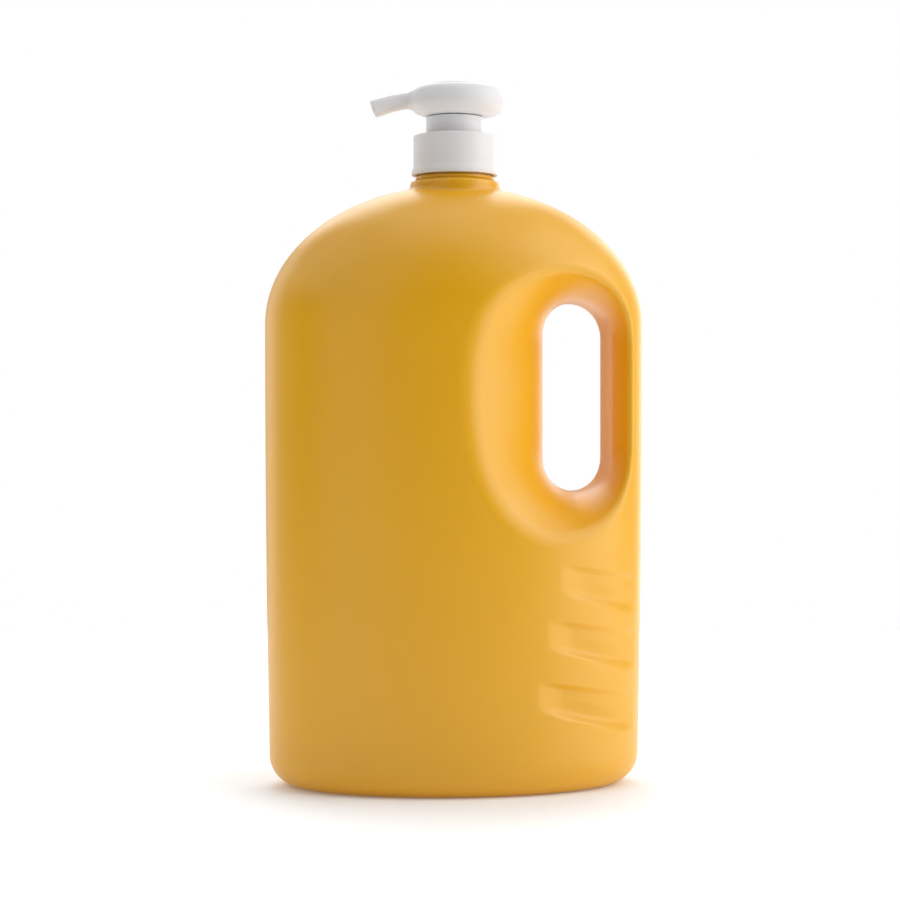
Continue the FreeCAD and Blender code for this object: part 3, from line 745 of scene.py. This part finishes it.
def spread_color(material, fac, dark, light):
    """Base colour that wanders between two near tones."""
    tree = material.node_tree
    mix = tree.nodes.new("ShaderNodeMix")
    mix.data_type = "RGBA"
    mix.inputs["A"].default_value = (*dark, 1)
    mix.inputs["B"].default_value = (*light, 1)
    tree.links.new(fac, mix.inputs["Factor"])
    tree.links.new(mix.outputs["Result"], tree.nodes["Principled BSDF"].inputs["Base Color"])


def spread_roughness(material, fac, low, high):
    """Roughness that wanders between two values."""
    tree = material.node_tree
    span = tree.nodes.new("ShaderNodeMapRange")
    span.inputs["To Min"].default_value = low
    span.inputs["To Max"].default_value = high
    tree.links.new(fac, span.inputs["Value"])
    tree.links.new(span.outputs["Result"], tree.nodes["Principled BSDF"].inputs["Roughness"])


def add_bump(material, height, depth):
    """Surface relief on top of any earlier relief; depth is in millimetres."""
    tree = material.node_tree
    shader = tree.nodes["Principled BSDF"]
    bump = tree.nodes.new("ShaderNodeBump")
    bump.inputs["Distance"].default_value = depth * MM
    tree.links.new(height, bump.inputs["Height"])
    earlier = shader.inputs["Normal"].links
    if earlier:
        tree.links.new(earlier[0].from_socket, bump.inputs["Normal"])
    tree.links.new(bump.outputs["Normal"], shader.inputs["Normal"])


def parting_line(material, half_width):
    """1 on the mould's parting plane, falling to 0 half a line's width away."""
    tree = material.node_tree
    place = tree.nodes.new("ShaderNodeTexCoord")
    split = tree.nodes.new("ShaderNodeSeparateXYZ")
    size = tree.nodes.new("ShaderNodeMath")
    size.operation = "ABSOLUTE"
    span = tree.nodes.new("ShaderNodeMapRange")
    span.interpolation_type = "SMOOTHSTEP"
    span.inputs["From Max"].default_value = half_width * MM
    span.inputs["To Min"].default_value = 1
    span.inputs["To Max"].default_value = 0
    tree.links.new(place.outputs["Object"], split.inputs["Vector"])
    tree.links.new(split.outputs["Y"], size.inputs[0])
    tree.links.new(size.outputs["Value"], span.inputs["Value"])
    return span.outputs["Result"]


def jug_plastic():
    """Yellow blown plastic with a slight waviness, a fine grain and the mould's parting line."""
    material = new_material("jug_yellow", (0.83, 0.41, 0.004), roughness=0.36, Specular_IOR_Level=0.62)
    spread_color(material, noise(material, scale=14), dark=(0.816, 0.4, 0.003), light=(0.844, 0.42, 0.005))
    spread_roughness(material, noise(material, scale=60), low=0.33, high=0.39)
    add_bump(material, noise(material, scale=260), depth=0.05)
    add_bump(material, noise(material, scale=1800), depth=0.01)
    add_bump(material, parting_line(material, half_width=0.5), depth=0.08)
    return material


def white_plastic():
    """White moulded plastic of the pump's outer pieces and its stem."""
    material = new_material("pump_white", (0.81, 0.795, 0.79), roughness=0.42, Specular_IOR_Level=0.3)
    spread_color(material, noise(material, scale=40), dark=(0.8, 0.785, 0.78), light=(0.82, 0.805, 0.8))
    spread_roughness(material, noise(material, scale=120), low=0.38, high=0.46)
    add_bump(material, noise(material, scale=500), depth=0.012)
    return material


def natural_plastic():
    """Milky uncoloured plastic of the pump's inner pieces."""
    milky = {"Subsurface_Weight": 0.2, "Subsurface_Scale": 0.002}
    material = new_material("natural_plastic", (0.8, 0.8, 0.76), roughness=0.4, **milky)
    spread_color(material, noise(material, scale=60), dark=(0.77, 0.77, 0.72), light=(0.82, 0.82, 0.79))
    spread_roughness(material, noise(material, scale=150), low=0.34, high=0.46)
    add_bump(material, noise(material, scale=600), depth=0.015)
    return material


def soft_plastic():
    """Dull soft plastic of the seals."""
    material = new_material("soft_seal", (0.72, 0.72, 0.7), roughness=0.6)
    spread_color(material, noise(material, scale=80), dark=(0.69, 0.69, 0.67), light=(0.74, 0.74, 0.72))
    spread_roughness(material, noise(material, scale=200), low=0.52, high=0.66)
    add_bump(material, noise(material, scale=900), depth=0.02)
    return material


def steel():
    """Bright steel of the spring and the check balls."""
    material = new_material("bright_steel", (0.6, 0.6, 0.6), roughness=0.25, Metallic=1.0)
    spread_color(material, noise(material, scale=300), dark=(0.57, 0.57, 0.57), light=(0.63, 0.63, 0.62))
    spread_roughness(material, noise(material, scale=900), low=0.2, high=0.32)
    add_bump(material, noise(material, scale=2500), depth=0.004)
    return material


# Pieces

def make_jug(material):
    """Hollow skin: outside and inside cut level under the neck's bead and joined by a flat lip there."""
    low = (-HALF_WIDTH_SHOULDER - JUG_MARGIN, -HALF_DEPTH_SHOULDER - JUG_MARGIN, -JUG_MARGIN)
    high = (HALF_WIDTH_SHOULDER + JUG_MARGIN, HALF_DEPTH_SHOULDER + JUG_MARGIN, NECK_JOIN_Z + JUG_MARGIN)
    pocket_x = min(POCKET_LEFT_X)
    pocket_top = max(POCKET_TOP_Z) + JUG_MARGIN
    outer_grid = [
        planes((low[0], pocket_x, WIDE_STEP), (pocket_x, high[0], FINE_STEP)),
        planes((low[1], high[1], DEPTH_STEP)),
        planes((low[2], pocket_top, POCKET_STEP), (pocket_top, high[2], WIDE_STEP)),
    ]
    inner_grid = even_grid(low, high, CAVITY_STEP)
    outside = cut_level(*skin(jug_outside, outer_grid, FINE_STEP), NECK_JOIN_Z)
    inside = cut_level(*skin(jug_cavity, inner_grid, CAVITY_STEP), NECK_JOIN_Z)
    points, quads = joined(outside[:2], (inside[0], inside[1][:, ::-1]))
    outward = np.concatenate([outside[2], -inside[2]])
    piece = add_mesh("jug_skin", points, quads, material)
    close_lip(piece.data)
    piece.data.normals_split_custom_set_from_vertices(outward.tolist())
    return piece


def make_neck(material):
    """Bead and threaded barrel of the neck, from the jug's level cut up."""
    barrel = lathe(softened((
        (NECK_BORE, NECK_JOIN_Z, 0),
        (NECK_BEAD_RADIUS, NECK_JOIN_Z, 0),
        (NECK_BEAD_RADIUS, NECK_BEAD_TOP, NECK_BEAD_ROUND),
        (NECK_RADIUS, NECK_BEAD_TOP, NECK_BEAD_FILLET),
        (NECK_RADIUS, NECK_TOP, NECK_LIP_ROUND),
        (NECK_BORE, NECK_TOP, NECK_LIP_ROUND),
    )))
    root = NECK_RADIUS - THREAD_BITE
    ridge = thread(root, NECK_THREAD_CREST, THREAD_START_Z, THREAD_PITCH, THREAD_TURNS)
    return add_mesh("neck_finish", *joined(barrel, ridge), material)


def make_closure(material):
    """Screw collar with a flared lip, an open roof and the mating thread inside."""
    lip_top = CLOSURE_BOTTOM + CLOSURE_LIP_HEIGHT
    roof = CLOSURE_TOP - CLOSURE_ROOF
    shell = lathe(softened((
        (CLOSURE_BORE, CLOSURE_BOTTOM, CLOSURE_MOUTH_ROUND),
        (CLOSURE_LIP_RADIUS, CLOSURE_BOTTOM, CLOSURE_LIP_LOWER_ROUND),
        (CLOSURE_LIP_RADIUS, lip_top, CLOSURE_LIP_UPPER_ROUND),
        (CLOSURE_RADIUS, lip_top + CLOSURE_LIP_HEIGHT, CLOSURE_WAIST_ROUND),
        (CLOSURE_RADIUS, CLOSURE_TOP, CLOSURE_TOP_ROUND),
        (CLOSURE_TOP_HOLE, CLOSURE_TOP, CLOSURE_HOLE_ROUND),
        (CLOSURE_TOP_HOLE, roof, 0),
        (CLOSURE_BORE, roof, CLOSURE_ROOF_FILLET),
    )))
    root = CLOSURE_BORE + THREAD_BITE
    start_z = THREAD_START_Z + THREAD_PITCH / 2
    ridge = thread(root, CLOSURE_THREAD_CREST, start_z, THREAD_PITCH, THREAD_TURNS)
    return add_mesh("closure_shell", *joined(shell, ridge), material)


def make_chaplet(material):
    """Ring with a flange under the closure's roof, a well for the head's boss and a guide for the stem."""
    ring = lathe(softened((
        (CHAPLET_GUIDE, CHAPLET_FLANGE_BOTTOM, CHAPLET_GUIDE_ROUND),
        (CHAPLET_PLUG_BORE, CHAPLET_FLANGE_BOTTOM, 0),
        (CHAPLET_PLUG_BORE, CHAPLET_PLUG_BOTTOM, CHAPLET_PLUG_BORE_ROUND),
        (CHAPLET_PLUG, CHAPLET_PLUG_BOTTOM, CHAPLET_PLUG_ROUND),
        (CHAPLET_PLUG, CHAPLET_FLANGE_BOTTOM, 0),
        (FLANGE_RADIUS, CHAPLET_FLANGE_BOTTOM, FLANGE_ROUND),
        (FLANGE_RADIUS, CHAPLET_FLANGE_TOP, FLANGE_ROUND),
        (CHAPLET_RADIUS, CHAPLET_FLANGE_TOP, 0),
        (CHAPLET_RADIUS, CHAPLET_TOP, CHAPLET_TOP_ROUND),
        (CHAPLET_WELL, CHAPLET_TOP, CHAPLET_WELL_ROUND),
        (CHAPLET_WELL, CHAPLET_WELL_FLOOR, CHAPLET_WELL_FILLET),
        (CHAPLET_GUIDE, CHAPLET_WELL_FLOOR, CHAPLET_GUIDE_ROUND),
    )))
    return add_mesh("chaplet_ring", *ring, material)


def make_head(material):
    """Upper shell of the press head with its nozzle."""
    side = HEAD_HALF_WIDTH + HEAD_MARGIN
    low = (-HEAD_HALF_LENGTH - NOZZLE_CURVE, -side, SOCKET_BOTTOM - HEAD_UNDER_MARGIN)
    high = (HEAD_HALF_LENGTH + HEAD_END_MARGIN, side, PAD_TOP + HEAD_MARGIN)
    grid = even_grid(low, high, HEAD_STEP)
    points, quads, outward = skin(head_shell, grid, HEAD_STEP, head_outside)
    return add_mesh("head_shell", points, quads, material, outward)


def make_head_base(material):
    """Lower shell of the press head with its boss."""
    side = HEAD_HALF_WIDTH + HEAD_MARGIN
    low = (-HEAD_HALF_LENGTH - HEAD_MARGIN, -side, BOSS_BOTTOM - HEAD_MARGIN)
    high = (HEAD_HALF_LENGTH + HEAD_END_MARGIN, side, HEAD_SEAM + HEAD_MARGIN)
    grid = even_grid(low, high, HEAD_STEP)
    points, quads, outward = skin(head_base, grid, HEAD_STEP, base_outside)
    return add_mesh("head_underside", points, quads, material, outward)


def make_lock_ridge(material):
    """Thread on the head's boss that screws into the chaplet to hold the head down."""
    ridge = thread(BOSS_RADIUS - THREAD_BITE, LOCK_RIDGE_RADIUS, LOCK_START_Z, LOCK_PITCH, LOCK_TURNS)
    return add_mesh("lock_ridge", *ridge, material)


def make_spring(material):
    """Coil spring between the housing's ledge and the piston's seat, clear of both by a small gap."""
    bottom = SPRING_BOTTOM + SPRING_WIRE + SPRING_GAP
    top = SPRING_TOP - SPRING_WIRE - SPRING_GAP
    return add_mesh("coil_spring", *coil(SPRING_RADIUS, SPRING_WIRE, bottom, top, SPRING_COILS), material)


# Stage

def aim(lamp, target):
    """Turns a lamp so that it shines at a target."""
    direction = np.array(target) - np.array(lamp.location)
    flat = math.hypot(direction[0], direction[1])
    lamp.rotation_euler = (math.atan2(flat, -direction[2]), 0, math.atan2(-direction[0], direction[1]))


def add_light(name, azimuth, elevation, width, height, power):
    """A soft box that faces the middle of the object; azimuth 0 is at the front, positive to the right."""
    light = bpy.data.lights.new(name, "AREA")
    light.shape = "RECTANGLE"
    light.size = width
    light.size_y = height
    light.energy = power
    lamp = bpy.data.objects.new(name, light)
    turn = math.radians(azimuth)
    lift = math.radians(elevation)
    lamp.location = (
        LIGHT_TARGET[0] + LIGHT_DISTANCE * math.cos(lift) * math.sin(turn),
        LIGHT_TARGET[1] - LIGHT_DISTANCE * math.cos(lift) * math.cos(turn),
        LIGHT_TARGET[2] + LIGHT_DISTANCE * math.sin(lift),
    )
    aim(lamp, LIGHT_TARGET)
    bpy.context.collection.objects.link(lamp)


def floor_paint():
    """Pale sweep that glows away from the object, so that it fades into the white background. Its cool
    tint is painted to cancel the yellow light that the jug bounces onto it.
    """
    # The floor colour's cool tint is painted to cancel the jug's yellow bounce light; the floor itself is
    # white
    material = new_material("floor_pale", (0.87, 0.9, 0.94), roughness=0.6, Emission_Strength=1)
    spread_roughness(material, noise(material, scale=8), low=0.55, high=0.65)
    tree = material.node_tree
    place = tree.nodes.new("ShaderNodeTexCoord")
    distance = tree.nodes.new("ShaderNodeVectorMath")
    distance.operation = "LENGTH"
    glow = tree.nodes.new("ShaderNodeValToRGB")
    stops = glow.color_ramp.elements
    # A third stop between the two that a new ramp has; the loop below sets all their places
    stops.new(0.5)
    for stop, (radius, strength) in zip(stops, FLOOR_GLOW):
        stop.position = radius
        stop.color = (strength, strength, strength, 1)
    tree.links.new(place.outputs["Object"], distance.inputs[0])
    tree.links.new(distance.outputs["Value"], glow.inputs["Fac"])
    tree.links.new(glow.outputs["Color"], tree.nodes["Principled BSDF"].inputs["Emission Color"])
    return material


def add_floor():
    """A flat disc under the object, which belongs to the stage and not to the part."""
    rim = [2 * math.pi * turn / LATHE_SEGMENTS for turn in range(LATHE_SEGMENTS)]
    corners = [(FLOOR_RADIUS * math.cos(angle), FLOOR_RADIUS * math.sin(angle), 0) for angle in rim]
    mesh = bpy.data.meshes.new("floor")
    mesh.from_pydata(corners, [], [range(LATHE_SEGMENTS)])
    mesh.materials.append(floor_paint())
    floor = bpy.data.objects.new("floor", mesh)
    bpy.context.collection.objects.link(floor)


def set_world():
    """White to the eye; as a light it comes from behind the object only."""
    world = bpy.data.worlds.new("studio")
    world.use_nodes = True
    bpy.context.scene.world = world
    tree = world.node_tree
    background = tree.nodes["Background"]
    background.inputs["Color"].default_value = (1, 1, 1, 1)
    place = tree.nodes.new("ShaderNodeTexCoord")
    split = tree.nodes.new("ShaderNodeSeparateXYZ")
    behind = tree.nodes.new("ShaderNodeMapRange")
    behind.interpolation_type = "SMOOTHSTEP"
    behind.inputs["From Min"].default_value = WORLD_DARK_Y
    behind.inputs["From Max"].default_value = WORLD_FULL_Y
    behind.inputs["To Max"].default_value = WORLD_STRENGTH
    rays = tree.nodes.new("ShaderNodeLightPath")
    span = tree.nodes.new("ShaderNodeMapRange")
    span.inputs["To Max"].default_value = 1.0
    tree.links.new(place.outputs["Generated"], split.inputs["Vector"])
    tree.links.new(split.outputs["Y"], behind.inputs["Value"])
    tree.links.new(behind.outputs["Result"], span.inputs["To Min"])
    tree.links.new(rays.outputs["Is Camera Ray"], span.inputs["Value"])
    tree.links.new(span.outputs["Result"], background.inputs["Strength"])


def add_camera():
    """A level camera a little to the left of square-on."""
    camera = bpy.data.cameras.new("camera")
    camera.lens = CAMERA_LENS
    camera.sensor_width = CAMERA_SENSOR
    eye = bpy.data.objects.new("camera", camera)
    ahead = np.array((-math.sin(CAMERA_AZIMUTH), math.cos(CAMERA_AZIMUTH)))
    right = np.array((math.cos(CAMERA_AZIMUTH), math.sin(CAMERA_AZIMUTH)))
    place = -CAMERA_DISTANCE * ahead - CAMERA_SIDESTEP * right
    eye.location = (*place, CAMERA_HEIGHT)
    eye.rotation_euler = (math.radians(90), 0, CAMERA_AZIMUTH)
    bpy.context.collection.objects.link(eye)
    bpy.context.scene.camera = eye


def dress():
    """Gives every CAD node its finish, and draws the outer pieces and the spring again in their places."""
    yellow = jug_plastic()
    white = white_plastic()
    finishes = {
        "jug_yellow": yellow,
        "pump_white": white,
        "natural_plastic": natural_plastic(),
        "soft_seal": soft_plastic(),
        "bright_steel": steel(),
    }
    for part in frame["record"]["subparts"]:
        node = frame["nodes"][part["node"]]
        for slot in node.material_slots:
            slot.material = finishes[part["material_slot"]]
    for piece in (make_jug(yellow), make_neck(yellow)):
        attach(piece, "jug")
        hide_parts("bottle")
    pieces = (
        (make_closure(white), "closure_ring", "closure"),
        (make_chaplet(white), "pump_body", "chaplet"),
        (make_head(white), "press_head", "actuator_head"),
        (make_head_base(white), "press_head", "actuator_base"),
        (make_lock_ridge(white), "press_head", "actuator_base"),
    )
    for piece, body, node in pieces:
        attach(piece, body)
        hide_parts(node)
    spring = make_spring(finishes["bright_steel"])
    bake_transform(spring)
    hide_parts("return_spring")


dress()
add_floor()
set_world()
for light_facts in LIGHTS:
    add_light(*light_facts)
add_camera()
bpy.context.scene.view_settings.view_transform = "Standard"
